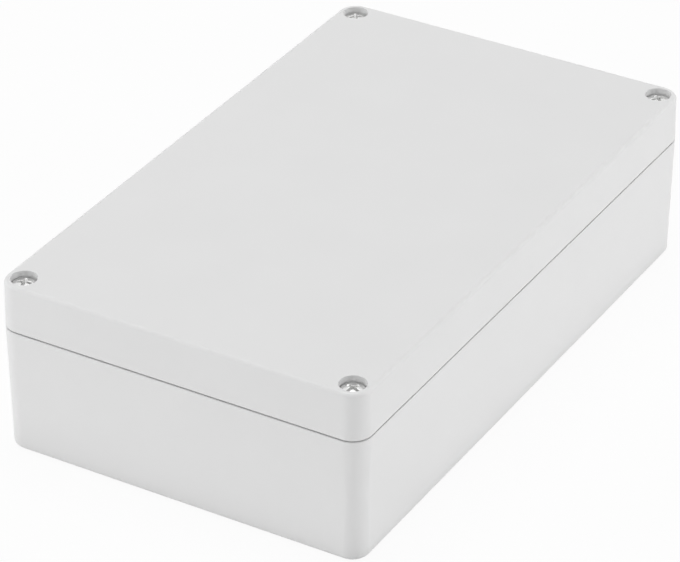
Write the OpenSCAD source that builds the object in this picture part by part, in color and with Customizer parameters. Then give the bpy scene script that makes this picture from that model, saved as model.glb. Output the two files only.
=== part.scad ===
// Sealed wall box: a moulded base and a screwed-down lid that meet on a tongue, a groove and a seal.
// The screws and the wall-fixing wells lie in the corners, outside the seal, so the inside stays dry.
// The origin is at the middle of the underside. X runs along the length, Y across the width and Z up.
// All lengths are in millimetres and all angles in degrees.

/* [Housing] */
// Outside length at the parting line
box_length = 200; // [170:1:260]
// Outside width at the parting line
box_width = 120; // [100:1:180]
// Height of the closed box
box_height = 56; // [50:1:90]
// Height of the lid, from the parting line up
lid_height = 15.3; // [14:0.1:20]
// Radius of the upright corners at the parting line
corner_radius = 6.2; // [5.5:0.1:8]
// Draft of every moulded wall
draft_angle = 1; // [0.5:0.1:1.5]
// Wall thickness at the rim
wall_thickness = 2.8; // [2.6:0.1:3.4]
// Thickness of the base's floor
floor_thickness = 3; // [2.5:0.1:4]
// Thickness of the lid's top plate
plate_thickness = 3; // [2.5:0.1:4]
// Rounding of the lid's top edge
lid_edge_radius = 1.2; // [0.6:0.1:1.6]
// Rounding of the base's bottom edge
base_edge_radius = 1.8; // [0.6:0.1:2.2]
// Rounding of the hollow where a wall meets a post
hollow_radius = 3; // [2.5:0.1:4]
// Rounding of each post's inner corner
post_radius = 3.5; // [2.5:0.1:5]
// Shadow gap that shows between the two rims
rim_gap = 0.4; // [0.2:0.05:0.6]
// Rounding of the two rims' outer edges along that gap
rim_edge_radius = 0.3; // [0.1:0.05:0.5]

/* [Seal] */
// Width of the tongue along the base's rim
tongue_width = 1.5; // [1.2:0.1:1.7]
// Height of the tongue above the base's rim
tongue_height = 2; // [1.5:0.1:3]
// Clearance on each side of the tongue in the lid's groove
tongue_clearance = 0.2; // [0.1:0.05:0.3]
// Height of the seal strip between the tongue and the groove's roof
seal_height = 2; // [1.5:0.1:3]
// Clearance on each side of the seal strip in the groove
seal_clearance = 0.05; // [0.02:0.01:0.1]
// Thickness of the lid's inner rib, which closes the groove
rib_thickness = 1.3; // [1:0.1:1.8]
// How far the lid's inner rib reaches down into the base
rib_reach = 1.5; // [0.5:0.1:3]

/* [Lid screws] */
// Distance of each screw's axis from the two nearest outside faces
screw_inset = 6; // [5.8:0.1:8]
// Diameter of the screw's shank over its thread
screw_diameter = 4; // [3:0.1:4.2]
// Length of the shank below the head
screw_length = 20; // [18:0.5:26]
// Length of the chamfer at the shank's tip
screw_tip = 0.7; // [0.3:0.1:1]
// Diameter of the pan head
head_diameter = 7.6; // [6.5:0.1:8]
// Height of the pan head
head_height = 2.6; // [2:0.1:3.2]
// Height of the dome that tops the head
dome_height = 0.7; // [0.5:0.1:1.2]
// Rounding between the head's side and its dome
shoulder_radius = 0.6; // [0.3:0.1:0.9]
// Depth of the head's crown below the lid's top face
head_depth = 1.3; // [0.5:0.1:2.5]
// Clearance round the head in its counterbore
counterbore_clearance = 0.2; // [0.15:0.05:0.6]
// Clearance round the shank in the lid
shank_clearance = 0.25; // [0.1:0.05:0.4]
// Span of the cross recess
recess_span = 4.3; // [3.4:0.1:4.8]
// Width of the cross recess's slots
recess_width = 1; // [0.7:0.05:1.2]
// Depth of the cross recess below the crown
recess_depth = 1.9; // [1.2:0.1:2.2]
// Radius of the seating pad round each screw under the lid
pad_radius = 4.2; // [3.8:0.1:4.6]

/* [Threaded inserts] */
// Outside diameter of the insert
insert_diameter = 5.6; // [5.2:0.1:6]
// Length of the insert
insert_length = 8; // [6:0.5:10]
// Clearance round the insert in its post
insert_clearance = 0.03; // [0.01:0.01:0.08]
// Running clearance round the screw in the insert
thread_clearance = 0.05; // [0.02:0.01:0.1]
// Depth of the insert's top below the post's top
insert_sink = 0.2; // [0.1:0.05:0.5]
// Free depth below the screw's tip
tip_room = 2; // [1:0.5:4]

/* [Wall fixing] */
// Diameter of the holes for the fixing screws
fixing_hole = 4.5; // [3.5:0.1:5]
// Diameter of the wells that take the fixing screws' heads
fixing_well = 7.8; // [7:0.1:8.4]
// Thickness of the web that the fixing screws' heads clamp
fixing_web = 4; // [3:0.5:6]
// Material between a well and its neighbouring insert
well_gap = 3.5; // [2.5:0.1:5]
// Material between a well and the seal's groove
post_wall = 1.2; // [1:0.1:2]

/* [Board pillars] */
// Distance from one pair of pillars to the next along the length
pillar_pitch_x = 70; // [60:1:72]
// Distance between the two pillars of a pair across the width
pillar_span_y = 84; // [60:1:88]
// Diameter of a pillar
pillar_diameter = 7; // [6:0.1:8]
// Height of a pillar above the floor
pillar_height = 5; // [3:0.5:8]
// Diameter of the pilot hole for a self-tapping screw
pilot_diameter = 2.8; // [2.2:0.1:3.2]
// Depth of the pilot hole
pilot_depth = 6; // [4:0.5:7]

/* [Hidden] */
$fn = 96;
// Corner name, side along X, side along Y and how far that screw is turned when tight
CORNERS = [
    ["front_left", -1, -1, 72],
    ["front_right", 1, -1, 50],
    ["back_left", -1, 1, 17],
    ["back_right", 1, 1, 37]
];
SCREW_NODES = [for (corner = CORNERS) str("lid_screw_", corner[0])];
INSERT_NODES = [for (corner = CORNERS) str("insert_", corner[0])];

ABS_GREY = [0.87, 0.87, 0.87];
SEAL_GREY = [0.2, 0.2, 0.21];
STEEL = [0.74, 0.75, 0.77];
BRASS = [0.78, 0.62, 0.32];

// How far a cut runs past the face that it opens, and how far a raised piece is rooted in its wall
cut_margin = 1;
root_depth = 1;
draft = tan(draft_angle);

// Heights of the faces that the pieces share
rim_z = box_height - lid_height - rim_gap / 2;
skirt_z = rim_z + rim_gap;
tongue_z = rim_z + tongue_height;
groove_z = tongue_z + seal_height;
rib_z = rim_z - rib_reach;
plate_z = box_height - plate_thickness;
seat_z = box_height - head_depth - head_height;
tip_z = seat_z - screw_length;
insert_z = rim_z - insert_sink;
pillar_z = floor_thickness + pillar_height;

// Bores that take the screws and the inserts
counterbore = head_diameter + 2 * counterbore_clearance;
shank_bore = screw_diameter + 2 * shank_clearance;
thread_bore = screw_diameter + 2 * thread_clearance;
insert_bore = insert_diameter + 2 * insert_clearance;

// Places of the screws and the wall-fixing holes
screw_x = box_length / 2 - screw_inset;
screw_y = box_width / 2 - screw_inset;
fixing_x = screw_x - insert_diameter / 2 - well_gap - fixing_well / 2;
fixing_y = screw_y;

// The hollow's mouth: its full reach along each axis, and its reach between the corner posts
tongue_room = tongue_width + tongue_clearance;
mouth_x = box_length / 2 - wall_thickness;
mouth_y = box_width / 2 - wall_thickness;
post_x = fixing_x - fixing_well / 2 - post_wall - tongue_room;
post_y = fixing_y - fixing_well / 2 - post_wall - tongue_room;

// Half of a moulded wall's section, from the corner axis outwards: a soft rim, a drafted side, a round edge
module shell_profile(reach, height, edge_radius) {
    side = reach - height * draft;
    rim_setback = rim_edge_radius * tan(45 + draft_angle / 2);
    rim_x = reach - rim_setback * sin(draft_angle);
    rim_y = rim_setback * cos(draft_angle);
    setback = edge_radius * tan(45 - draft_angle / 2);
    turn_x = side + setback * sin(draft_angle);
    turn_y = height - setback * cos(draft_angle);
    rim = [[0, 0], [reach - rim_setback, 0], [rim_x, rim_y]];
    edge = [[turn_x, turn_y], [side - setback, height], [0, height]];
    polygon(concat(rim, edge));
    translate([reach - rim_setback, rim_edge_radius])
        circle(rim_edge_radius);
    translate([side - setback, height - edge_radius])
        circle(edge_radius);
}

// Half of a hollow's section, from the corner axis outwards, narrowing from its mouth at 0 to its end
module hollow_profile(reach, depth, over) {
    polygon([[0, -over], [reach + over * draft, -over], [reach - depth * draft, depth], [0, depth]]);
}

// A block with round upright corners whose four sides all follow the profile given as its child
module walled_block(half_x, half_y, radius, z_low, z_high) {
    core_x = half_x - radius;
    core_y = half_y - radius;
    translate([-core_x, -core_y, z_low])
        cube([2 * core_x, 2 * core_y, z_high - z_low]);
    for (side = [0, 1]) {
        mirror([0, side, 0])
            translate([-core_x, core_y, 0])
                rotate([90, 0, 90])
                    linear_extrude(2 * core_x)
                        children();
        mirror([side, 0, 0])
            translate([core_x, core_y, 0])
                rotate([90, 0, 0])
                    linear_extrude(2 * core_y)
                        children();
    }
    for (turn = [0:3]) {
        along_x = (turn == 0 || turn == 3) ? core_x : -core_x;
        along_y = (turn < 2) ? core_y : -core_y;
        translate([along_x, along_y, 0])
            rotate([0, 0, 90 * turn])
                rotate_extrude(angle = 90)
                    children();
    }
}

// One moulded shell standing on the parting line, solid inside
module outer_shell(height, edge_radius) {
    walled_block(box_length / 2, box_width / 2, corner_radius, 0, height)
        shell_profile(corner_radius, height, edge_radius);
}

// A rectangle with round corners, centred
module rounded_rectangle(half_x, half_y, radius) {
    square([2 * half_x, 2 * (half_y - radius)], center = true);
    square([2 * (half_x - radius), 2 * half_y], center = true);
    for (x = [-1, 1], y = [-1, 1])
        translate([x * (half_x - radius), y * (half_y - radius)])
            circle(radius);
}

// The hollow's mouth between the posts, grown outwards by a distance: every seal part follows this line
module mouth_outline(grow) {
    rounded_rectangle(mouth_x + grow, post_y + grow, hollow_radius + grow);
    rounded_rectangle(post_x + grow, mouth_y + grow, hollow_radius + grow);
    difference() {
        square([2 * (post_x + post_radius), 2 * (post_y + post_radius)], center = true);
        for (x = [-1, 1], y = [-1, 1])
            translate([x * (post_x + post_radius), y * (post_y + post_radius)])
                circle(post_radius - grow);
    }
}

// A closed strip that follows the mouth, between two distances from it
module mouth_strip(inner, outer) {
    difference() {
        mouth_outline(outer);
        mouth_outline(inner);
    }
}

// The drafted hollow, with its mouth at 0 and its end at the depth; the cut starts before the mouth
module hollow(grow, depth, over) {
    radius = hollow_radius + grow;
    walled_block(mouth_x + grow, post_y + grow, radius, -over, depth)
        hollow_profile(radius, depth, over);
    walled_block(post_x + grow, mouth_y + grow, radius, -over, depth)
        hollow_profile(radius, depth, over);
    difference() {
        reach_x = post_x + post_radius;
        reach_y = post_y + post_radius;
        translate([-reach_x, -reach_y, -over])
            cube([2 * reach_x, 2 * reach_y, depth + over]);
        for (x = [-1, 1], y = [-1, 1])
            translate([x * reach_x, y * reach_y, -over])
                cylinder(
                    h = depth + over,
                    r1 = post_radius - grow - over * draft,
                    r2 = post_radius - grow + depth * draft
                );
    }
}

// Puts a piece at each lid screw
module at_screws() {
    for (corner = CORNERS)
        translate([corner[1] * screw_x, corner[2] * screw_y, 0])
            children();
}

// Puts a piece at each wall-fixing hole
module at_fixings() {
    for (corner = CORNERS)
        translate([corner[1] * fixing_x, corner[2] * fixing_y, 0])
            children();
}

// A straight round bar or bore between two heights
module round_bar(diameter, z_low, z_high) {
    translate([0, 0, z_low])
        cylinder(h = z_high - z_low, d = diameter);
}

// Puts a piece at each board pillar
module at_pillars() {
    for (x = [-1, 0, 1], y = [-1, 1])
        translate([x * pillar_pitch_x, y * pillar_span_y / 2, 0])
            children();
}

module base() {
    color(ABS_GREY)
        difference() {
            union() {
                difference() {
                    union() {
                        translate([0, 0, rim_z])
                            mirror([0, 0, 1])
                                outer_shell(rim_z, base_edge_radius);
                        translate([0, 0, rim_z - root_depth])
                            linear_extrude(tongue_height + root_depth)
                                mouth_outline(tongue_width);
                    }
                    translate([0, 0, rim_z])
                        mirror([0, 0, 1])
                            hollow(0, rim_z - floor_thickness, tongue_height + cut_margin);
                }
                at_pillars()
                    round_bar(pillar_diameter, floor_thickness - root_depth, pillar_z);
            }
            at_pillars()
                round_bar(pilot_diameter, pillar_z - pilot_depth, pillar_z + cut_margin);
            at_screws() {
                round_bar(insert_bore, insert_z - insert_length, rim_z + cut_margin);
                round_bar(shank_bore, tip_z - tip_room, rim_z);
            }
            at_fixings() {
                round_bar(fixing_well, fixing_web, rim_z + cut_margin);
                round_bar(fixing_hole, -cut_margin, fixing_web + cut_margin);
            }
        }
}

module lid() {
    color(ABS_GREY)
        difference() {
            union() {
                translate([0, 0, skirt_z])
                    outer_shell(box_height - skirt_z, lid_edge_radius);
                translate([0, 0, rib_z])
                    linear_extrude(skirt_z + root_depth - rib_z)
                        mouth_outline(-tongue_clearance);
                at_screws()
                    round_bar(2 * pad_radius, rim_z, skirt_z + root_depth);
            }
            translate([0, 0, rib_z])
                hollow(-tongue_clearance - rib_thickness, plate_z - rib_z, cut_margin);
            translate([0, 0, rib_z - cut_margin])
                linear_extrude(groove_z - rib_z + cut_margin)
                    mouth_strip(-tongue_clearance, tongue_room);
            at_screws() {
                round_bar(shank_bore, rim_z - cut_margin, seat_z + cut_margin);
                round_bar(counterbore, seat_z, box_height + cut_margin);
            }
            at_fixings()
                round_bar(fixing_well, skirt_z - cut_margin, plate_z);
        }
}

module lid_seal() {
    color(SEAL_GREY)
        translate([0, 0, tongue_z])
            linear_extrude(seal_height)
                mouth_strip(seal_clearance - tongue_clearance, tongue_room - seal_clearance);
}

// Half of a pan head's section, from its axis outwards: a straight side, a round shoulder and a dome
module head_profile() {
    head_radius = head_diameter / 2;
    dome_radius = (head_radius * head_radius + dome_height * dome_height) / (2 * dome_height);
    dome_z = head_height - dome_radius;
    shoulder_x = head_radius - shoulder_radius;
    meet_angle = asin(shoulder_x / (dome_radius - shoulder_radius));
    shoulder_z = dome_z + (dome_radius - shoulder_radius) * cos(meet_angle);
    meet_x = dome_radius * sin(meet_angle);
    meet_z = dome_z + dome_radius * cos(meet_angle);
    polygon([[0, 0], [head_radius, 0], [head_radius, shoulder_z], [meet_x, meet_z], [0, meet_z]]);
    translate([shoulder_x, shoulder_z])
        circle(shoulder_radius);
    intersection() {
        translate([0, dome_z])
            circle(dome_radius);
        translate([0, meet_z])
            square([meet_x, dome_height]);
    }
}

// A pan-head screw with its seat at 0, its shank below and a cross recess in its crown
module lid_screw(corner) {
    tip_diameter = screw_diameter - 2 * screw_tip;
    color(STEEL)
        translate([corner[1] * screw_x, corner[2] * screw_y, seat_z])
            rotate([0, 0, corner[3]])
                difference() {
                    union() {
                        rotate_extrude()
                            head_profile();
                        round_bar(screw_diameter, screw_tip - screw_length, 0);
                        translate([0, 0, -screw_length])
                            cylinder(h = screw_tip, d1 = tip_diameter, d2 = screw_diameter);
                    }
                    for (turn = [0, 90])
                        rotate([0, 0, turn])
                            translate([-recess_span / 2, -recess_width / 2, head_height - recess_depth])
                                cube([recess_span, recess_width, recess_depth + cut_margin]);
                }
}

// A threaded brass tube, sunk a little below its post's top
module threaded_insert(corner) {
    color(BRASS)
        translate([corner[1] * screw_x, corner[2] * screw_y, 0])
            difference() {
                round_bar(insert_diameter, insert_z - insert_length, insert_z);
                round_bar(thread_bore, insert_z - insert_length - cut_margin, insert_z + cut_margin);
            }
}

base();
lid();
lid_seal();
for (i = [0:3])
    lid_screw(CORNERS[i]);
for (i = [0:3])
    threaded_insert(CORNERS[i]);
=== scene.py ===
"""Looks of a sealed wall box: a moulded base and lid, a seal strip, four lid screws and four threaded inserts.

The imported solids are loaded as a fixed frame, and every piece here is built in that frame, in metres: the
origin is at the middle of the underside, X runs along the length, Y across the width and Z up.
"""

import logging
import math
from dataclasses import asdict, dataclass, field
from enum import Enum
from typing import Sequence

import bmesh
import bpy
from mathutils import Matrix, Vector


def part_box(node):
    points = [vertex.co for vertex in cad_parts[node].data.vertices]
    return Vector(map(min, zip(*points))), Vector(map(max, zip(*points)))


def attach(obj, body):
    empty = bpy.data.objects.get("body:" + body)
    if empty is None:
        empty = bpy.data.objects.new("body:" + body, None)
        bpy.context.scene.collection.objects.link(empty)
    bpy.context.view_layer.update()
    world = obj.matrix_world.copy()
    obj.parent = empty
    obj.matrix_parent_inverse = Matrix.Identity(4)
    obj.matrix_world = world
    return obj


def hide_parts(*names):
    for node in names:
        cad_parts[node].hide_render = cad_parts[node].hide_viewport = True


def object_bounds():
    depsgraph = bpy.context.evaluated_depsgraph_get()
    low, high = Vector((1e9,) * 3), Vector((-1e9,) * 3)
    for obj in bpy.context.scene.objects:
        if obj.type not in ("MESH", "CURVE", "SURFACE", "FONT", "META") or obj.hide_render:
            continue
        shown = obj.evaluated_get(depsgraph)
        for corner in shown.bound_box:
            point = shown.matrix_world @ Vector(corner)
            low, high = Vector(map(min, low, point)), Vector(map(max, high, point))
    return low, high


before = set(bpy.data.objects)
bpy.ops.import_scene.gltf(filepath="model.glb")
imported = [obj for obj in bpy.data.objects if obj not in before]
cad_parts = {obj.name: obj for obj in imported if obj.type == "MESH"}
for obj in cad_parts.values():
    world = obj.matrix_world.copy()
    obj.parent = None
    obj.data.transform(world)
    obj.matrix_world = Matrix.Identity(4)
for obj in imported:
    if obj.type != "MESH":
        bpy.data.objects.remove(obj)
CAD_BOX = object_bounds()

LOG = logging.getLogger("wall_box")
MM = 0.001
QUARTER_TURN = math.pi / 2
# The values between which a noise texture mostly stays.
NOISE_BAND = (0.3, 0.7)
# The map on turned pieces, and the values that their vertices and the seal's line carry.
TURN_MAP = "turned"
THREAD_SHARE = "thread_share"
KNURL_SHARE = "knurl_share"
BEND_RADIUS = "bend_radius"

Colour = tuple[float, float, float]
Socket = bpy.types.NodeSocket


class Corner(Enum):
    """The four corners of the box: name, and how far that lid screw is turned when tight, in degrees."""

    FRONT_LEFT = ("front_left", 72)
    FRONT_RIGHT = ("front_right", 50)
    BACK_LEFT = ("back_left", 17)
    BACK_RIGHT = ("back_right", 37)

    @property
    def label(self) -> str:
        """The corner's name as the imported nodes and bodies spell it."""
        return self.value[0]

    @property
    def tight_turn(self) -> float:
        """How far the corner's screw is turned, in radians."""
        return math.radians(self.value[1])


class Slot(Enum):
    """The record's material slots."""

    HOUSING = "housing"
    SEAL = "seal"
    STEEL = "screw_steel"
    BRASS = "insert_brass"


class NodeSheet:
    """Adds nodes to a shader or geometry tree and links them."""

    def __init__(self, tree: bpy.types.NodeTree) -> None:
        """Keeps the tree that the nodes go into."""
        self.tree = tree

    def add(self, kind: str, inputs: dict | None = None, **settings: object) -> bpy.types.Node:
        """Adds one node, sets its properties and sets or links its inputs.

        Args:
            kind: The node's type identifier.
            inputs: Input index or name to a plain value, or to an output socket that is linked there.
            **settings: The node's own properties, such as its operation.

        Returns:
            The new node.
        """
        node = self.tree.nodes.new(kind)
        for name, value in settings.items():
            setattr(node, name, value)
        for key, value in (inputs or {}).items():
            if isinstance(value, Socket):
                self.tree.links.new(value, node.inputs[key])
            else:
                node.inputs[key].default_value = value
        return node

    def out(self, kind: str, inputs: dict | None = None, socket: int | str = 0, **settings: object) -> Socket:
        """Adds one node, as add does, and returns one of its outputs."""
        return self.add(kind, inputs, **settings).outputs[socket]

    def math(self, operation: str, *terms: object, clamp: bool = False) -> Socket:
        """Adds a Math node on numbers or sockets, held between 0 and 1 if asked, and returns its result."""
        return self.out("ShaderNodeMath", dict(enumerate(terms)), operation=operation, use_clamp=clamp)

    def vector(self, operation: str, *terms: object, socket: int | str = 0) -> Socket:
        """Adds a Vector Math node on vectors or sockets, and returns one of its outputs."""
        return self.out("ShaderNodeVectorMath", dict(enumerate(terms)), socket, operation=operation)

    def scaled(self, vector: Socket, factor: Socket) -> Socket:
        """Adds a Vector Math node that scales a vector or a colour, and returns the result."""
        return self.out("ShaderNodeVectorMath", {0: vector, "Scale": factor}, operation="SCALE")

    def remap(self, value: Socket, to: tuple, given: tuple = (0.0, 1.0)) -> Socket:
        """Adds a Map Range node from the given limits to new ones, and returns its result."""
        limits = {"From Min": given[0], "From Max": given[1], "To Min": to[0], "To Max": to[1]}
        return self.out("ShaderNodeMapRange", {"Value": value, **limits})

    def attribute(self, name: str) -> Socket:
        """Adds a number that the mesh carries at each vertex, and returns it."""
        return self.out("GeometryNodeInputNamedAttribute", {"Name": name}, "Attribute", data_type="FLOAT")

    def noise(self, where: Socket, scale: float, detail: float = 2.0, harshness: float = 0.5) -> Socket:
        """Adds a Noise texture and returns its value."""
        inputs = {"Vector": where, "Scale": scale, "Detail": detail, "Roughness": harshness}
        return self.out("ShaderNodeTexNoise", inputs, "Fac")

    def tint(self, value: Socket, band: tuple[float, float], ends: tuple[Colour, Colour]) -> Socket:
        """Adds a ramp between two colours.

        Args:
            value: The value that runs along the ramp.
            band: The values at which the two colours are reached.
            ends: The two colours.

        Returns:
            The ramp's colour.
        """
        ramp = self.add("ShaderNodeValToRGB", {"Fac": value})
        for stop, position, colour in zip(ramp.color_ramp.elements, band, ends):
            stop.position = position
            stop.color = (*colour, 1)
        return ramp.outputs["Color"]

    def dullness(self, value: Socket, middle: float, spread: float) -> Socket:
        """Adds a roughness that a noise varies about its middle, and returns it."""
        return self.remap(value, (middle - spread, middle + spread), NOISE_BAND)

    def surface(
        self, colour: Socket, dullness: Socket, relief: Socket, depth: float, extra: dict[str, float]
    ) -> None:
        """Adds a material's shader, with a fine relief on it, and its output.

        Args:
            colour: The base colour.
            dullness: The roughness.
            relief: The relief's height, from 0 to 1.
            depth: The relief's depth in metres.
            extra: The shader's further inputs by name.
        """
        bump = self.out("ShaderNodeBump", {"Height": relief, "Strength": 1.0, "Distance": depth})
        inputs = {"Base Color": colour, "Roughness": dullness, "Normal": bump, **extra}
        shader = self.out("ShaderNodeBsdfPrincipled", inputs)
        self.add("ShaderNodeOutputMaterial", {"Surface": shader})


class GeometryTree:
    """A geometry tree with named inputs, one of them the material, and the sheet that its nodes go on."""

    def __init__(self, name: str, takes: str, inputs: dict[str, str], gives: str) -> None:
        """Makes the tree with its inputs and its output.

        Args:
            name: The tree's name.
            takes: The name of the geometry that comes in.
            inputs: The other inputs' names, with their kinds of socket.
            gives: The name of the geometry that goes out.
        """
        self.tree = bpy.data.node_groups.new(name, "GeometryNodeTree")
        face = self.tree.interface
        face.new_socket(takes, in_out="INPUT", socket_type="NodeSocketGeometry")
        self.sockets = {
            key: face.new_socket(key, in_out="INPUT", socket_type=f"NodeSocket{kind}").identifier
            for key, kind in inputs.items()
        }
        face.new_socket(gives, in_out="OUTPUT", socket_type="NodeSocketGeometry")
        self.sheet = NodeSheet(self.tree)
        self.given = self.sheet.add("NodeGroupInput").outputs

    def end(self, geometry: Socket) -> None:
        """Ends the tree: makes the geometry real, sets its material and gives it out.

        Args:
            geometry: The geometry that the other nodes make.
        """
        real = self.sheet.out("GeometryNodeRealizeInstances", {"Geometry": geometry})
        inputs = {"Geometry": real, "Material": self.given["Material"]}
        self.sheet.add("NodeGroupOutput", {0: self.sheet.out("GeometryNodeSetMaterial", inputs)})

    def run(self, obj: bpy.types.Object, values: dict[str, object]) -> bpy.types.Object:
        """Shapes an object by the tree.

        Args:
            obj: The object with the geometry that comes in.
            values: The other inputs by name.

        Returns:
            The same object, with the result as its plain mesh.
        """
        modifier = obj.modifiers.new(self.tree.name, "NODES")
        modifier.node_group = self.tree
        for key, value in values.items():
            modifier[self.sockets[key]] = value
        return bake(obj)


def new_material(name: str) -> tuple[bpy.types.Material, NodeSheet]:
    """Makes an empty node material.

    Args:
        name: The material's name.

    Returns:
        The material and a sheet for its node tree.
    """
    material = bpy.data.materials.new(name)
    material.use_nodes = True
    material.node_tree.nodes.clear()
    return material, NodeSheet(material.node_tree)


def new_object(name: str, mesh: bpy.types.Mesh) -> bpy.types.Object:
    """Links a new object for a mesh.

    Args:
        name: The object's name.
        mesh: The object's mesh.

    Returns:
        The object, at the origin.
    """
    obj = bpy.data.objects.new(name, mesh)
    bpy.context.scene.collection.objects.link(obj)
    return obj


def bake(obj: bpy.types.Object) -> bpy.types.Object:
    """Makes an object's evaluated shape its plain mesh, and takes its modifiers off.

    Args:
        obj: The object to bake.

    Returns:
        The same object.
    """
    bpy.context.view_layer.update()
    depsgraph = bpy.context.evaluated_depsgraph_get()
    evaluated = obj.evaluated_get(depsgraph)
    mesh = bpy.data.meshes.new_from_object(evaluated, preserve_all_data_layers=True, depsgraph=depsgraph)
    old = obj.data
    obj.modifiers.clear()
    obj.data = mesh
    mesh.name = obj.name
    bpy.data.meshes.remove(old)
    return obj


def drop(obj: bpy.types.Object) -> None:
    """Removes a construction object with its mesh."""
    mesh = obj.data
    bpy.data.objects.remove(obj)
    bpy.data.meshes.remove(mesh)


def even_normals(obj: bpy.types.Object, sharp_angle: float | None = None) -> None:
    """Shades an object smooth, leaning on its larger faces, with a live modifier.

    Args:
        obj: The object to shade.
        sharp_angle: Angle between two faces, in degrees, from which their edge stays sharp, if any does.
    """
    for face in obj.data.polygons:
        face.use_smooth = True
    evened = obj.modifiers.new("even_normals", "WEIGHTED_NORMAL")
    if sharp_angle is not None:
        obj.data.set_sharp_from_angle(angle=math.radians(sharp_angle))
        evened.keep_sharp = True


def soften(obj: bpy.types.Object, radius: float, segments: int, least_angle: float) -> None:
    """Rounds an object's sharp edges and evens its normals, with live modifiers.

    Args:
        obj: The object to round.
        radius: Width of the rounding in metres.
        segments: Faces across the rounding.
        least_angle: Angle between two faces, in degrees, from which their edge is rounded.
    """
    edges = obj.modifiers.new("soft_edges", "BEVEL")
    edges.width = radius
    edges.segments = segments
    edges.limit_method = "ANGLE"
    edges.angle_limit = math.radians(least_angle)
    edges.use_clamp_overlap = False
    edges.loop_slide = False
    even_normals(obj)


def place(obj: bpy.types.Object, body: str, slot: Slot, *nodes: str) -> None:
    """Rides a finished piece on its body, in place of its solids.

    Args:
        obj: The finished piece.
        body: The body that carries it.
        slot: The record's slot for its finish; not used.
        *nodes: The solids that it stands for.
    """
    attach(obj, body)
    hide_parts(*nodes)
    LOG.info("%s: %d faces on %s", obj.name, len(obj.data.polygons), body)


@dataclass(frozen=True)
class MouldedPlastic:
    """Light grey moulded ABS with a fine spark-eroded grain."""

    colour: Colour = (0.735, 0.735, 0.735)
    shade: float = 0.985
    roughness: float = 0.46
    roughness_spread: float = 0.06
    refraction: float = 1.53
    flow_size: float = 28 * MM
    grain_size: float = 0.5 * MM
    grain_harshness: float = 0.6
    grain_depth: float = 0.004 * MM

    def material(self, name: str) -> bpy.types.Material:
        """Makes the plastic's material.

        Args:
            name: The material's name.

        Returns:
            The material.
        """
        material, sheet = new_material(name)
        where = sheet.out("ShaderNodeTexCoord", socket="Object")
        flow = sheet.noise(where, 1 / self.flow_size)
        grain = sheet.noise(where, 1 / self.grain_size, harshness=self.grain_harshness)
        shaded = tuple(self.shade * c for c in self.colour)
        tint = sheet.tint(flow, NOISE_BAND, (shaded, self.colour))
        dullness = sheet.dullness(grain, self.roughness, self.roughness_spread)
        sheet.surface(tint, dullness, grain, self.grain_depth, {"IOR": self.refraction})
        return material


@dataclass(frozen=True)
class TurnedMetal:
    """Bright metal off a lathe, with fine rings round its axis, a little cloudiness and painted shade in a
    recess.
    """

    colour: Colour
    roughness: float
    roughness_spread: float = 0.06
    # Painted shade in a recess: the colour's factor where it is fullest, and the depth in millimetres over
    # which it grows.
    recess_shade: float = 1.0
    recess_fade: float = 0.5
    cloud_shade: float = 0.93
    cloud_scale: float = 900.0
    rings: float = 55.0
    ring_breaks: float = 2.0
    ring_detail: float = 3.0
    ring_harshness: float = 0.6
    ring_depth: float = 0.0025 * MM

    def material(self, name: str) -> bpy.types.Material:
        """Makes the metal's material, whose rings follow the piece's own map and whose recess has painted
        shade.

        Args:
            name: The material's name.

        Returns:
            The material.
        """
        material, sheet = new_material(name)
        wrap = sheet.out("ShaderNodeUVMap", uv_map=TURN_MAP)
        stretch = (self.ring_breaks, self.rings, 1.0)
        stretched = sheet.out("ShaderNodeMapping", {"Vector": wrap, "Scale": stretch})
        rings = sheet.noise(stretched, 1.0, self.ring_detail, self.ring_harshness)
        cloud = sheet.noise(sheet.out("ShaderNodeTexCoord", socket="Object"), self.cloud_scale)
        clouded = tuple(self.cloud_shade * c for c in self.colour)
        tint = sheet.tint(cloud, NOISE_BAND, (clouded, self.colour))
        # The map's second value is a length in millimetres, and below zero only in a recess; there the colour
        # is darkened as painted shade, fullest from the fade depth down.
        depth = sheet.out("ShaderNodeSeparateXYZ", {0: wrap}, "Y")
        shade = sheet.remap(depth, (self.recess_shade, 1.0), (-self.recess_fade, 0.0))
        dullness = sheet.dullness(rings, self.roughness, self.roughness_spread)
        sheet.surface(sheet.scaled(tint, shade), dullness, rings, self.ring_depth, {"Metallic": 1.0})
        return material


@dataclass(frozen=True)
class Elastomer:
    """Dull dark rubber with a powdery bloom."""

    colour: Colour = (0.022, 0.022, 0.024)
    bloom: Colour = (0.045, 0.045, 0.047)
    bloom_band: tuple[float, float] = (0.35, 0.75)
    bloom_scale: float = 260.0
    bloom_detail: float = 4.0
    roughness: float = 0.72
    roughness_spread: float = 0.08
    sheen: float = 0.15
    grain_size: float = 0.35 * MM
    grain_depth: float = 0.01 * MM

    def material(self, name: str) -> bpy.types.Material:
        """Makes the rubber's material.

        Args:
            name: The material's name.

        Returns:
            The material.
        """
        material, sheet = new_material(name)
        where = sheet.out("ShaderNodeTexCoord", socket="Object")
        patches = sheet.noise(where, self.bloom_scale, self.bloom_detail)
        grain = sheet.noise(where, 1 / self.grain_size)
        tint = sheet.tint(patches, self.bloom_band, (self.colour, self.bloom))
        dullness = sheet.dullness(patches, self.roughness, self.roughness_spread)
        sheet.surface(tint, dullness, grain, self.grain_depth, {"Sheen Weight": self.sheen})
        return material


@dataclass(frozen=True)
class ProfilePoint:
    """One point of a turned profile, with the share of each relief that is cut there."""

    radius: float
    height: float
    thread: float = 0.0
    knurl: float = 0.0


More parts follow.
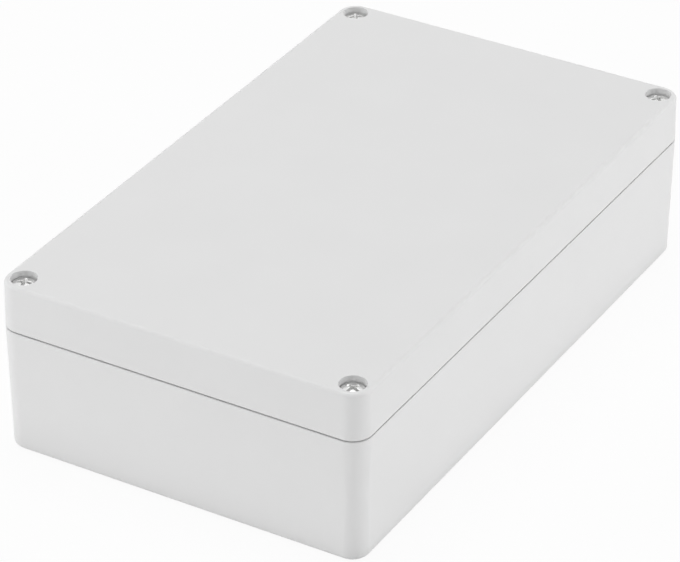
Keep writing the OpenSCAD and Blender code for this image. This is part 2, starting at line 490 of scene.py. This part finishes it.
def turned_mesh(name: str, profile: Sequence[ProfilePoint], sides: int, closed: bool = False) -> bpy.types.Mesh:
    """Turns a profile round the Z axis.

    Args:
        name: The mesh's name.
        profile: The profile's points, with the material on the left as the profile runs.
        sides: Faces round the axis.
        closed: Whether the last point joins the first, as on a ring.

    Returns:
        The mesh, with a map of angle and length and one value for each kind of relief at each vertex.
    """
    coords: list[tuple[float, float, float]] = []
    shares: list[tuple[float, float]] = []
    rings: list[list[int]] = []
    lengths = [0.0]
    for before, after in zip(profile, profile[1:]):
        lengths.append(lengths[-1] + math.hypot(after.radius - before.radius, after.height - before.height))
    for point in profile:
        count = sides if point.radius > 0 else 1
        rings.append([len(coords) + side for side in range(count)])
        for side in range(count):
            angle = 2 * math.pi * side / sides
            coords.append((point.radius * math.cos(angle), point.radius * math.sin(angle), point.height))
            shares.append((point.thread, point.knurl))
    faces: list[list[int]] = []
    marks: list[list[tuple[float, float]]] = []
    rows = len(profile) if closed else len(profile) - 1
    for row in range(rows):
        low, high = rings[row], rings[(row + 1) % len(rings)]
        v_low, v_high = lengths[row] / MM, lengths[min(row + 1, len(lengths) - 1)] / MM
        for side in range(sides):
            here, there = side / sides, (side + 1) / sides
            corners = [
                (low[side % len(low)], (here, v_low)),
                (low[(side + 1) % len(low)], (there, v_low)),
                (high[(side + 1) % len(high)], (there, v_high)),
                (high[side % len(high)], (here, v_high)),
            ]
            unique = [c for k, c in enumerate(corners) if c[0] != corners[k - 1][0]]
            faces.append([c[0] for c in unique])
            marks.append([c[1] for c in unique])
    mesh = bpy.data.meshes.new(name)
    mesh.from_pydata(coords, [], faces)
    wrap = mesh.uv_layers.new(name=TURN_MAP)
    wrap.data.foreach_set("uv", [value for face in marks for mark in face for value in mark])
    for index, share_name in enumerate((THREAD_SHARE, KNURL_SHARE)):
        share = mesh.attributes.new(share_name, "FLOAT", "POINT")
        share.data.foreach_set("value", [pair[index] for pair in shares])
    for face in mesh.polygons:
        face.use_smooth = True
    return mesh


@dataclass(frozen=True)
class ReliefSizes:
    """The relief that is cut into a turned blank, and how far its copies may be turned."""

    pitch: float
    thread_depth: float
    knurl_count: float = 1.0
    knurl_lead: float = 1.0
    knurl_depth: float = 0.0
    most_turn: float = 0.0
    seed: int = 1

    def inputs(self) -> dict[str, float]:
        """The sizes by the names of the tree's inputs."""
        return {key.replace("_", " ").title(): value for key, value in asdict(self).items()}


class TurnedRelief(GeometryTree):
    """Cuts a screw thread and a diamond knurl into a turned blank, and repeats it at points."""

    HALF_PITCH = 0.5
    FLANK_SLOPE = 2.9
    CREST_SHARE = 0.25
    KNURL_SLOPE = 3.0

    def __init__(self) -> None:
        """Makes the tree with its named inputs and draws it."""
        inputs = {
            "Blank": "Object",
            "Pitch": "Float",
            "Thread Depth": "Float",
            "Knurl Count": "Float",
            "Knurl Lead": "Float",
            "Knurl Depth": "Float",
            "Most Turn": "Float",
            "Seed": "Int",
            "Material": "Material",
        }
        super().__init__("turned_relief", "Points", inputs, "Pieces")
        self._draw()

    def _draw(self) -> None:
        """Adds the nodes that cut the blank inward, turn its copies and set them out."""
        sheet, given = self.sheet, self.given
        blank = sheet.out("GeometryNodeObjectInfo", {"Object": given["Blank"]}, "Geometry")
        spot = sheet.add("ShaderNodeSeparateXYZ", {0: sheet.out("GeometryNodeInputPosition")}).outputs
        turn = sheet.math("DIVIDE", sheet.math("ARCTAN2", spot["Y"], spot["X"]), 2 * math.pi)
        cut = sheet.math("ADD", self._thread(spot["Z"], turn), self._knurl(spot["Z"], turn))
        flat = sheet.out("ShaderNodeCombineXYZ", {"X": spot["X"], "Y": spot["Y"]})
        shift = sheet.scaled(sheet.vector("NORMALIZE", flat), sheet.math("MULTIPLY", cut, -1.0))
        shaped = sheet.out("GeometryNodeSetPosition", {"Geometry": blank, "Offset": shift})
        limits = {2: 0.0, 3: given["Most Turn"], "Seed": given["Seed"]}
        spin = sheet.out("FunctionNodeRandomValue", limits, 1, data_type="FLOAT")
        turned = sheet.out("ShaderNodeCombineXYZ", {"Z": spin})
        copies = {"Points": given["Points"], "Instance": shaped, "Rotation": turned}
        self.end(sheet.out("GeometryNodeInstanceOnPoints", copies))

    def _thread(self, height: Socket, turn: Socket) -> Socket:
        """Adds the thread.

        Args:
            height: The height along the axis.
            turn: The share of a turn round the axis.

        Returns:
            How deep the thread cuts.
        """
        sheet = self.sheet
        phase = sheet.math("SUBTRACT", sheet.math("DIVIDE", height, self.given["Pitch"]), turn)
        flank = sheet.math("PINGPONG", phase, self.HALF_PITCH)
        valley = sheet.math("MULTIPLY_ADD", flank, self.FLANK_SLOPE, -self.CREST_SHARE, clamp=True)
        return self._cut(valley, "Thread Depth", THREAD_SHARE)

    def _knurl(self, height: Socket, turn: Socket) -> Socket:
        """Adds the knurl, from two sets of slanting grooves.

        Args:
            height: The height along the axis.
            turn: The share of a turn round the axis.

        Returns:
            How deep the knurl cuts.
        """
        sheet = self.sheet
        around = sheet.math("MULTIPLY", turn, self.given["Knurl Count"])
        along = sheet.math("DIVIDE", height, self.given["Knurl Lead"])
        slants = [sheet.math(way, around, along) for way in ("ADD", "SUBTRACT")]
        ridges = [sheet.math("PINGPONG", slant, self.HALF_PITCH) for slant in slants]
        rise = sheet.math("MULTIPLY", sheet.math("MINIMUM", *ridges), self.KNURL_SLOPE)
        groove = sheet.math("SUBTRACT", 1.0, rise, clamp=True)
        return self._cut(groove, "Knurl Depth", KNURL_SHARE)

    def _cut(self, form: Socket, depth: str, share: str) -> Socket:
        """Scales a form from 0 to 1 to its depth, and to the share of it that each vertex takes."""
        full = self.sheet.math("MULTIPLY", form, self.given[depth])
        return self.sheet.math("MULTIPLY", full, self.sheet.attribute(share))

    def make(
        self,
        name: str,
        blank: bpy.types.Object,
        points: Sequence[Vector],
        sizes: ReliefSizes,
        finish: bpy.types.Material,
    ) -> bpy.types.Object:
        """Cuts a blank's relief and sets it out, which uses the blank up.

        Args:
            name: The piece's name.
            blank: The turned blank, with its axis on Z.
            points: Where the piece stands, once for each point.
            sizes: The relief's sizes.
            finish: The piece's material.

        Returns:
            The piece as a plain mesh.
        """
        mesh = bpy.data.meshes.new(name)
        mesh.from_pydata([tuple(p) for p in points], [], [])
        values = {**sizes.inputs(), "Blank": blank, "Material": finish}
        piece = self.run(new_object(name, mesh), values)
        drop(blank)
        return piece


@dataclass
class MouldedShell:
    """One moulded half of the housing, taken from its solid with its edges eased as a mould leaves them."""

    node: str
    name: str
    edge_radius: float = 0.18 * MM
    edge_segments: int = 3
    merge_distance: float = 0.001 * MM
    sharp_angle: float = 50.0

    def build(self, finish: bpy.types.Material) -> None:
        """Makes the shell and rides it on its body.

        Args:
            finish: The housing's material.
        """
        shell = new_object(self.name, self._joined_mesh())
        shell.data.materials.append(finish)
        soften(shell, self.edge_radius, self.edge_segments, self.sharp_angle)
        bake(shell)
        place(shell, self.node, Slot.HOUSING, self.node)

    def _joined_mesh(self) -> bpy.types.Mesh:
        """Joins the solid's loose triangles.

        Returns:
            A closed mesh with the solid's shape.
        """
        work = bmesh.new()
        work.from_mesh(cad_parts[self.node].data)
        bmesh.ops.remove_doubles(work, verts=work.verts, dist=self.merge_distance)
        self._ease_rims(work)
        work.verts.index_update()
        coords = [v.co[:] for v in work.verts]
        faces = [[v.index for v in face.verts] for face in work.faces]
        work.free()
        mesh = bpy.data.meshes.new(self.name)
        mesh.from_pydata(coords, [], faces)
        return mesh

    def _ease_rims(self, work: bmesh.types.BMesh) -> None:
        """Leaves the mesh as it is, because this half has no rims that need care of their own."""


@dataclass
class LidShell(MouldedShell):
    """The moulded lid, whose counterbores lie so close to its edge that their rims are rounded one by one."""

    node: str = "lid"
    name: str = "lid_shell"
    rim_radius: float = 0.12 * MM
    rim_rows: int = 4
    wall_lean: float = 0.5

    def _ease_rims(self, work: bmesh.types.BMesh) -> None:
        """Rounds the counterbores' rims and fills the flat top again up to them.

        Args:
            work: The lid's joined mesh.
        """
        top = max(v.co.z for v in work.verts)
        flat = [f for f in work.faces if all(v.co.z > top - self.merge_distance for v in f.verts)]
        bmesh.ops.delete(work, geom=flat, context="FACES")
        rims = [e for e in work.edges if e.is_boundary and abs(e.link_faces[0].normal.z) < self.wall_lean]
        boxes = [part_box(f"lid_screw_{corner.label}") for corner in Corner]
        axes = [(low.xy + high.xy) / 2 for low, high in boxes]
        around = dict.fromkeys(v for e in rims for v in e.verts)
        rows = {v: self._rounded_row(work, v, axes, top) for v in around}
        for edge in rims:
            start = edge.link_loops[0].vert
            left, right = rows[start], rows[edge.other_vert(start)]
            for k in range(self.rim_rows):
                work.faces.new((right[k], left[k], left[k + 1], right[k + 1]))
        border = [e for e in work.edges if e.is_boundary]
        bmesh.ops.triangle_fill(work, use_beauty=True, edges=border, normal=(0, 0, 1))

    def _rounded_row(
        self, work: bmesh.types.BMesh, vert: bmesh.types.BMVert, axes: Sequence[Vector], top: float
    ) -> list[bmesh.types.BMVert]:
        """Sinks one vertex of a counterbore's rim and rounds the way from it up to the flat top.

        Args:
            work: The lid's joined mesh.
            vert: A vertex of the rim.
            axes: The places of the counterbores' axes.
            top: The height of the flat top.

        Returns:
            The vertices from the counterbore's wall to the flat top.
        """
        outward = min((vert.co.xy - axis for axis in axes), key=lambda way: way.length).normalized()
        row = [vert]
        for step in range(1, self.rim_rows + 1):
            angle = QUARTER_TURN * step / self.rim_rows
            spot = vert.co.xy + outward * self.rim_radius * (1 - math.cos(angle))
            row.append(work.verts.new((*spot, top - self.rim_radius * (1 - math.sin(angle)))))
        vert.co.z = top - self.rim_radius
        return row


@dataclass
class SealStrip:
    """The rubber strip that lies in the lid's groove, one closed loop round the four corner posts."""

    node: str = "lid_seal"
    body: str = "lid"
    name: str = "seal_strip"
    width: float = 1.8 * MM
    post_reach: tuple[float, float] = (77.0 * MM, 47.2 * MM)
    post_radius: float = 3.5 * MM
    hollow_radius: float = 3.0 * MM
    middle_grow: float = 0.75 * MM
    section_radius: float = 0.45 * MM
    bend_steps: int = 14
    section_steps: int = 5

    def build(self, finish: bpy.types.Material) -> None:
        """Makes the strip and rides it on the lid.

        Args:
            finish: The rubber's material.
        """
        low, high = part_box(self.node)
        path = self._path(high.x - self.width / 2, high.y - self.width / 2, (low.z + high.z) / 2)
        sizes = {
            "Width": self.width,
            "Height": high.z - low.z,
            "Section Radius": self.section_radius,
            "Bend Steps": self.bend_steps,
            "Section Steps": self.section_steps,
            "Material": finish,
        }
        strip = self._sweep().run(new_object(self.name, path), sizes)
        place(strip, self.body, Slot.SEAL, self.node)

    def _path(self, reach_x: float, reach_y: float, height: float) -> bpy.types.Mesh:
        """Draws the strip's middle line with square bends, each with its radius.

        Args:
            reach_x: The line's reach along X.
            reach_y: The line's reach along Y.
            height: The line's height.

        Returns:
            A closed loop of edges.
        """
        post_x, post_y = (reach + self.middle_grow for reach in self.post_reach)
        outer = self.hollow_radius + self.middle_grow
        inner = self.post_radius - self.middle_grow
        quarter = [(reach_x, post_y, outer), (post_x, post_y, inner), (post_x, reach_y, outer)]
        points = list(quarter)
        points += [(-x, y, r) for x, y, r in reversed(quarter)]
        points += [(-x, -y, r) for x, y, r in quarter]
        points += [(x, -y, r) for x, y, r in reversed(quarter)]
        mesh = bpy.data.meshes.new(self.name)
        edges = [(k, (k + 1) % len(points)) for k in range(len(points))]
        mesh.from_pydata([(x, y, height) for x, y, _ in points], edges, [])
        bends = mesh.attributes.new(BEND_RADIUS, "FLOAT", "POINT")
        bends.data.foreach_set("value", [r for _, _, r in points])
        return mesh

    def _sweep(self) -> GeometryTree:
        """Draws the tree that rounds the line's bends and sweeps the strip's section along it.

        Returns:
            The tree.
        """
        inputs = {
            "Width": "Float",
            "Height": "Float",
            "Section Radius": "Float",
            "Bend Steps": "Int",
            "Section Steps": "Int",
            "Material": "Material",
        }
        tree = GeometryTree("seal_sweep", "Line", inputs, "Strip")
        sheet, given = tree.sheet, tree.given
        line = sheet.out("GeometryNodeMeshToCurve", {"Mesh": given["Line"]})
        bends = {"Curve": line, "Count": given["Bend Steps"], "Radius": sheet.attribute(BEND_RADIUS)}
        rounded = sheet.out("GeometryNodeFilletCurve", bends, mode="POLY")
        upright = sheet.out("GeometryNodeSetCurveNormal", {"Curve": rounded}, mode="Z_UP")
        sides = {"Width": given["Width"], "Height": given["Height"]}
        section = sheet.out("GeometryNodeCurvePrimitiveQuadrilateral", sides, mode="RECTANGLE")
        edges = {"Curve": section, "Count": given["Section Steps"], "Radius": given["Section Radius"]}
        eased = sheet.out("GeometryNodeFilletCurve", edges, mode="POLY")
        strip = sheet.out("GeometryNodeCurveToMesh", {"Curve": upright, "Profile Curve": eased})
        tree.end(sheet.out("GeometryNodeSetShadeSmooth", {"Geometry": strip}))
        return tree


@dataclass
class LidScrew:
    """One cross-recessed pan-head lid screw with an M4 thread."""

    corner: Corner
    relief: TurnedRelief
    head_radius: float = 3.8 * MM
    head_height: float = 2.6 * MM
    dome_height: float = 0.7 * MM
    shoulder_radius: float = 0.6 * MM
    seat_edge: float = 0.08 * MM
    profile_steps: int = 12
    sides: int = 72
    sharp_angle: float = 40.0
    shank_radius: float = 2.0 * MM
    shank_sides: int = 48
    root_share: float = 0.9
    root_rise: float = 0.13 * MM
    pitch: float = 0.7 * MM
    thread_depth: float = 0.4 * MM
    thread_start: float = 0.9 * MM
    tip_height: float = 0.7 * MM
    rows_per_turn: int = 10
    recess_span: float = 4.3 * MM
    recess_width: float = 1.0 * MM
    recess_depth: float = 1.9 * MM
    recess_cone: float = 0.3 * MM
    recess_taper: float = 0.52
    recess_web: float = 0.28 * MM
    recess_edge: float = 0.06 * MM
    lip_steps: int = 3
    wing_taper: float = 0.75
    wing_ease: float = 0.45
    wing_steps: int = 4
    cutter_rise: float = 0.4 * MM
    cutter_flare: float = 3.0

    @property
    def node(self) -> str:
        """The solid that this screw stands for."""
        return f"lid_screw_{self.corner.label}"

    @property
    def dome_radius(self) -> float:
        """Radius of the ball that the head's crown is cut from."""
        return (self.head_radius**2 + self.dome_height**2) / (2 * self.dome_height)

    def build(self, finish: bpy.types.Material) -> None:
        """Makes the screw and rides it on its own body.

        Args:
            finish: The steel's material.
        """
        low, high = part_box(self.node)
        seat = Vector(((low.x + high.x) / 2, (low.y + high.y) / 2, self._seat_height(high.z)))
        screw = self._head()
        shank = self._shank(seat.z - low.z, finish)
        work = bmesh.new()
        work.from_mesh(screw.data)
        work.from_mesh(shank.data)
        bmesh.ops.rotate(work, verts=work.verts, matrix=Matrix.Rotation(self.corner.tight_turn, 3, "Z"))
        bmesh.ops.translate(work, verts=work.verts, vec=seat)
        work.to_mesh(screw.data)
        work.free()
        drop(shank)
        screw.data.materials.append(finish)
        place(screw, f"screw_{self.corner.label}", Slot.STEEL, self.node)

    def _crown(self, radius: float) -> float:
        """The height of the head's crown at a distance from its axis."""
        return self.head_height - self.dome_radius + math.sqrt(self.dome_radius**2 - radius**2)

    def _seat_height(self, top: float) -> float:
        """The height of the head's underside, from that of its solid's highest point, beside the recess."""
        return top - self._crown(math.hypot(self.recess_width / 2, self.recess_width / 2))

    def _head(self) -> bpy.types.Object:
        """Turns the pan head and cuts its cross recess.

        Returns:
            The head, with its seat at height 0.
        """
        dome, shoulder, steps = self.dome_radius, self.shoulder_radius, self.profile_steps
        inset = self.head_radius - shoulder
        meet = math.asin(inset / (dome - shoulder))
        level = self.head_height - dome + (dome - shoulder) * math.cos(meet)
        profile = [
            ProfilePoint(0, 0),
            ProfilePoint(self.shank_radius, 0),
            ProfilePoint(self.head_radius - self.seat_edge, 0),
            ProfilePoint(self.head_radius, self.seat_edge),
        ]
        for step in range(steps):
            angle = QUARTER_TURN + (meet - QUARTER_TURN) * step / steps
            spot = (inset + shoulder * math.sin(angle), level + shoulder * math.cos(angle))
            profile.append(ProfilePoint(*spot))
        for step in range(steps):
            radius = dome * math.sin(meet * (1 - step / steps))
            profile.append(ProfilePoint(radius, self._crown(radius)))
        profile.append(ProfilePoint(0, self.head_height))
        head = new_object(f"screw_{self.corner.label}", turned_mesh("pan_head", profile, self.sides))
        cutter = new_object("cross_cutter", self._recess_mesh())
        cut = head.modifiers.new("cross_recess", "BOOLEAN")
        cut.operation = "DIFFERENCE"
        cut.solver = "EXACT"
        cut.object = cutter
        bake(head)
        drop(cutter)
        even_normals(head, self.sharp_angle)
        return bake(head)

    def _recess_outline(self, depth: float, grow: float) -> list[Vector]:
        """Draws the cross at one depth.

        Args:
            depth: The depth below the crown.
            grow: How far the outline stands off the recess's wall.

        Returns:
            The outline's points, anticlockwise.
        """
        share = depth / self.recess_depth
        narrow = 1 - (1 - self.recess_taper) * share
        wing = self.recess_width / 2 * (1 - (1 - self.wing_taper) * share)
        ease = wing * self.wing_ease
        end = self.recess_span / 2 * narrow - ease
        root = wing + self.recess_web * narrow + grow * (math.sqrt(2) - 1)
        half = [(root + (end - root) * k / self.wing_steps, wing + grow) for k in range(self.wing_steps)]
        reach = ease + grow
        for k in range(self.lip_steps + 1):
            angle = QUARTER_TURN * (1 - k / self.lip_steps)
            half.append((end + reach * math.cos(angle), wing - ease + reach * math.sin(angle)))
        points = [(x, -y) for x, y in half] + half[::-1]
        turns = [Matrix.Rotation(quarter * QUARTER_TURN, 2) for quarter in range(4)]
        return [turn @ Vector(point) for turn in turns for point in points]

    def _recess_mesh(self) -> bpy.types.Mesh:
        """Draws the tapered cross that cuts the recess, from above the crown over its rounded lip to its cone.

        Returns:
            A closed mesh, whose map gives the depth below the crown, from which the steel's material paints
            shade in the recess.
        """
        lip = self.recess_edge
        above = self.head_height + self.cutter_rise
        levels = [[(*p, above) for p in self._recess_outline(0, self.cutter_flare * lip)]]
        for step in range(self.lip_steps + 1):
            angle = QUARTER_TURN * (1 - step / self.lip_steps)
            ring = self._recess_outline(0, lip * (1 - math.cos(angle)))
            levels.append([(*p, self._crown(p.length) - lip * (1 - math.sin(angle))) for p in ring])
        floor = self.head_height - self.recess_depth
        levels.append([(*p, floor) for p in self._recess_outline(self.recess_depth, 0)])
        count = len(levels[0])
        coords = [point for ring in levels for point in ring] + [(0, 0, floor - self.recess_cone)]
        point = len(coords) - 1
        faces = [list(range(count))]
        for k in range(count):
            after = (k + 1) % count
            for row in range(0, (len(levels) - 1) * count, count):
                faces.append([row + k, row + count + k, row + count + after, row + after])
            faces.append([point - count + k, point, point - count + after])
        mesh = bpy.data.meshes.new("cross_cutter")
        mesh.from_pydata(coords, [], faces)
        work = bmesh.new()
        work.from_mesh(mesh)
        bmesh.ops.recalc_face_normals(work, faces=work.faces)
        work.to_mesh(mesh)
        work.free()
        # Depth below the crown in millimetres, which the steel's material turns into painted shade.
        below = [(z - self._crown(math.hypot(x, y))) / MM for x, y, z in coords]
        wrap = mesh.uv_layers.new(name=TURN_MAP)
        marks = [mark for loop in mesh.loops for mark in (0.0, below[loop.vertex_index])]
        wrap.data.foreach_set("uv", marks)
        return mesh

    def _shank(self, length: float, finish: bpy.types.Material) -> bpy.types.Object:
        """Turns the shank and cuts its thread.

        Args:
            length: The shank's length below the seat.
            finish: The steel's material.

        Returns:
            The shank, with the head's seat at height 0.
        """
        radius = self.shank_radius
        tip = radius - self.tip_height
        profile = [ProfilePoint(0, -length), ProfilePoint(tip, -length)]
        rows = round(length / self.pitch * self.rows_per_turn)
        for row in range(1, rows + 1):
            height = -length + length * row / rows
            rise = height + length
            share = min(1.0, rise / self.tip_height) * min(1.0, max(0.0, -height / self.thread_start))
            profile.append(ProfilePoint(min(radius, tip + rise), height, thread=share))
        profile.append(ProfilePoint(radius * self.root_share, self.root_rise))
        profile.append(ProfilePoint(0, self.root_rise))
        blank = new_object("shank_blank", turned_mesh("shank_blank", profile, self.shank_sides))
        sizes = ReliefSizes(self.pitch, self.thread_depth)
        return self.relief.make("shank", blank, [Vector()], sizes, finish)


@dataclass
class ThreadedInserts:
    """The four knurled brass inserts that are pressed into the base's corner posts."""

    relief: TurnedRelief
    body: str = "base"
    name: str = "threaded_inserts"
    bore_radius: float = 2.05 * MM
    lead_in: float = 0.3 * MM
    foot_chamfer: float = 0.25 * MM
    knurl_top: float = 0.9 * MM
    collar_height: float = 0.7 * MM
    collar_chamfer: float = 0.12 * MM
    groove_band: tuple[float, float] = (0.40, 0.52)
    groove_depth: float = 0.35 * MM
    pitch: float = 0.7 * MM
    thread_depth: float = 0.26 * MM
    thread_fade: int = 6
    knurl_count: float = 22.0
    knurl_lead: float = 0.8 * MM
    knurl_depth: float = 0.16 * MM
    row_height: float = 0.07 * MM
    sides: int = 66
    seed: int = 4

    def build(self, finish: bpy.types.Material) -> None:
        """Makes the four inserts and rides them on the base.

        Args:
            finish: The brass's material.
        """
        nodes = [f"insert_{corner.label}" for corner in Corner]
        boxes = [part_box(node) for node in nodes]
        low, high = boxes[0]
        blank = self._blank((high.x - low.x) / 2, high.z - low.z)
        tops = [Vector(((lo.x + hi.x) / 2, (lo.y + hi.y) / 2, hi.z)) for lo, hi in boxes]
        sizes = ReliefSizes(
            self.pitch,
            self.thread_depth,
            self.knurl_count,
            self.knurl_lead,
            self.knurl_depth,
            most_turn=2 * math.pi,
            seed=self.seed,
        )
        inserts = self.relief.make(self.name, blank, tops, sizes, finish)
        place(inserts, self.body, Slot.BRASS, *nodes)

    def _blank(self, radius: float, length: float) -> bpy.types.Object:
        """Turns an insert's blank: two bands for the knurl, a groove between them and a plain collar.

        Args:
            radius: The insert's outside radius.
            length: The insert's length.

        Returns:
            The blank, with its top at height 0.
        """
        mouth = self.bore_radius + self.lead_in
        profile = [
            ProfilePoint(mouth, -length),
            ProfilePoint(radius - self.foot_chamfer, -length),
            ProfilePoint(radius, -length + self.foot_chamfer),
        ]
        height = -length + self.foot_chamfer
        while height < -self.knurl_top:
            height += 2 * self.row_height
            if self.groove_band[0] < -height / length < self.groove_band[1]:
                profile.append(ProfilePoint(radius - self.groove_depth, height))
            else:
                profile.append(ProfilePoint(radius, height, knurl=1.0))
        profile += [
            ProfilePoint(radius, -self.collar_height),
            ProfilePoint(radius, -self.collar_chamfer),
            ProfilePoint(radius - self.collar_chamfer, 0.0),
            ProfilePoint(mouth, 0.0),
        ]
        bore = length - 2 * self.lead_in
        rows = round(bore / self.row_height)
        for row in range(rows + 1):
            fade = min(1.0, row / self.thread_fade, (rows - row) / self.thread_fade)
            profile.append(ProfilePoint(self.bore_radius, -self.lead_in - bore * row / rows, thread=-fade))
        return new_object("insert_blank", turned_mesh("insert_blank", profile, self.sides, closed=True))


@dataclass
class PhotoCamera:
    """The camera at the photograph's viewing angle."""

    frame_width: int = 680
    focal_pixels: float = 3637.0
    sensor: float = 36.0
    yaw: float = 1.0423
    pitch: float = 0.5542
    distance: float = 1.09292
    shift_right: float = 0.0043056
    shift_down: float = -0.0054851
    target_height: float = 0.028
    nearest: float = 0.01
    farthest: float = 50.0

    def build(self) -> None:
        """Makes the camera and sets it as the scene's."""
        right = Vector((math.cos(self.yaw), -math.sin(self.yaw), 0))
        ahead, drop_rate = math.cos(self.pitch), math.sin(self.pitch)
        forward = Vector((ahead * math.sin(self.yaw), ahead * math.cos(self.yaw), -drop_rate))
        down = forward.cross(right)
        middle = Vector((0, 0, self.target_height))
        stand = middle - right * self.shift_right - down * self.shift_down - forward * self.distance
        data = bpy.data.cameras.new("photo_camera")
        data.sensor_fit = "HORIZONTAL"
        data.sensor_width = self.sensor
        data.lens = self.focal_pixels * self.sensor / self.frame_width
        data.clip_start = self.nearest
        data.clip_end = self.farthest
        camera = bpy.data.objects.new("photo_camera", data)
        turn = Matrix((right, -down, -forward)).transposed()
        camera.matrix_world = Matrix.Translation(stand) @ turn.to_4x4()
        bpy.context.scene.collection.objects.link(camera)
        bpy.context.scene.camera = camera


@dataclass(frozen=True)
class Softbox:
    """One large soft lamp that faces the middle of the box."""

    name: str
    stand: tuple[float, float, float]
    size: float
    power: float
    target_height: float = 0.03

    def build(self) -> None:
        """Makes the lamp."""
        data = bpy.data.lights.new(self.name, "AREA")
        data.shape = "SQUARE"
        data.size = self.size
        data.energy = self.power
        lamp = bpy.data.objects.new(self.name, data)
        lamp.location = self.stand
        aim = Vector((0, 0, self.target_height)) - Vector(self.stand)
        lamp.rotation_euler = aim.to_track_quat("-Z", "Y").to_euler()
        bpy.context.scene.collection.objects.link(lamp)


@dataclass
class Studio:
    """The plain white room: a floor that keeps a faint shadow, a soft surround and soft lamps."""

    floor_reach: float = 4.0
    floor_height: float = -0.1 * MM
    floor_colour: Colour = (0.8, 0.8, 0.8)
    floor_white: float = 0.93
    floor_fill: float = 0.36
    floor_fade: float = 3 * MM
    surround_low: float = 0.69
    surround_high: float = 0.18
    lamps: tuple[Softbox, ...] = field(
        default_factory=lambda: (
            Softbox("left_softbox", (-0.75, 1.25, 0.6), 0.8, 2.8),
            Softbox("left_low_softbox", (-1.1, 0.9, 0.22), 0.42, 2.5),
            Softbox("right_softbox", (0.6, -1.3, 0.4), 0.5, 5.3),
            Softbox("top_softbox", (0.05, 0.15, 1.4), 1.0, 11.2),
        )
    )

    def build(self) -> None:
        """Makes the floor, the surround and the lamps, and sets the plain view transform."""
        self._floor()
        self._surround()
        for lamp in self.lamps:
            lamp.build()
        bpy.context.scene.view_settings.view_transform = "Standard"

    def _seen(self, sheet: NodeSheet) -> Socket:
        """Adds the test for rays that show the background.

        Args:
            sheet: The sheet of the material or the world.

        Returns:
            A socket that is 1 for camera, glossy and transmission rays and 0 for the rest.
        """
        path = sheet.add("ShaderNodeLightPath").outputs
        mirrored = sheet.math("MAXIMUM", path["Is Glossy Ray"], path["Is Transmission Ray"])
        return sheet.math("MAXIMUM", path["Is Camera Ray"], mirrored)

    def _lift(self, sheet: NodeSheet) -> Socket:
        """Adds the level of the floor's own light, which fades out towards the foot of the box.

        Args:
            sheet: The floor material's sheet.

        Returns:
            A socket with the strength.
        """
        reach = sheet.vector("ABSOLUTE", sheet.out("ShaderNodeTexCoord", socket="Object"))
        beyond = sheet.vector("SUBTRACT", reach, (CAD_BOX[1][0], CAD_BOX[1][1], 0))
        outside = sheet.vector("MAXIMUM", beyond, (0, 0, 0))
        away = sheet.vector("LENGTH", outside, socket="Value")
        return sheet.remap(away, (0.0, self.floor_fill), (0.0, self.floor_fade))

    def _floor(self) -> None:
        """Makes the floor, white to the eye with the object's shadow kept, and clear from below."""
        sides = ((-1, -1), (1, -1), (1, 1), (-1, 1))
        corners = [(x * self.floor_reach, y * self.floor_reach, self.floor_height) for x, y in sides]
        mesh = bpy.data.meshes.new("floor")
        mesh.from_pydata(corners, [], [[0, 1, 2, 3]])
        floor = new_object("floor", mesh)
        material, sheet = new_material("white_floor")
        matt = sheet.out("ShaderNodeBsdfDiffuse", {"Color": (*self.floor_colour, 1)})
        glow = sheet.out("ShaderNodeEmission", {"Strength": 1.0})
        lift = sheet.out("ShaderNodeEmission", {"Strength": self._lift(sheet)})
        fill = sheet.out("ShaderNodeAddShader", {0: matt, 1: lift})
        pale = sheet.out("ShaderNodeMixShader", {0: self.floor_white, 1: matt, 2: glow})
        shown = sheet.out("ShaderNodeMixShader", {0: self._seen(sheet), 1: fill, 2: pale})
        behind = sheet.out("ShaderNodeNewGeometry", socket="Backfacing")
        clear = sheet.out("ShaderNodeBsdfTransparent")
        sided = sheet.out("ShaderNodeMixShader", {0: behind, 1: shown, 2: clear})
        sheet.add("ShaderNodeOutputMaterial", {"Surface": sided})
        floor.data.materials.append(material)

    def _surround(self) -> None:
        """Sets a soft surround, dimmer overhead than at the horizon, that is white to the eye."""
        world = bpy.data.worlds.new("white_surround")
        world.use_nodes = True
        world.node_tree.nodes.clear()
        sheet = NodeSheet(world.node_tree)
        way = sheet.out("ShaderNodeTexCoord", socket="Generated")
        rise = sheet.out("ShaderNodeSeparateXYZ", {0: way}, "Z")
        soft = sheet.remap(rise, (self.surround_low, self.surround_high))
        level = sheet.remap(self._seen(sheet), (soft, 1.0))
        light = sheet.out("ShaderNodeBackground", {"Color": (1, 1, 1, 1), "Strength": level})
        sheet.add("ShaderNodeOutputWorld", {"Surface": light})
        bpy.context.scene.world = world


def main() -> None:
    """Builds every piece in order."""
    logging.basicConfig(level=logging.INFO, format="%(name)s: %(message)s")
    PhotoCamera().build()
    Studio().build()
    plastic = MouldedPlastic().material("light_grey_abs")
    MouldedShell("base", "base_shell").build(plastic)
    LidShell().build(plastic)
    SealStrip().build(Elastomer().material("dark_seal_rubber"))
    relief = TurnedRelief()
    # The steel's cross recess gets painted shade, at 0.92 of its colour where it is fullest.
    steel = TurnedMetal((0.80, 0.80, 0.795), roughness=0.25, recess_shade=0.92).material("bright_steel")
    for corner in Corner:
        LidScrew(corner, relief).build(steel)
    brass = TurnedMetal((0.80, 0.58, 0.24), roughness=0.28).material("bright_brass")
    ThreadedInserts(relief).build(brass)


if __name__ == "__main__":
    main()
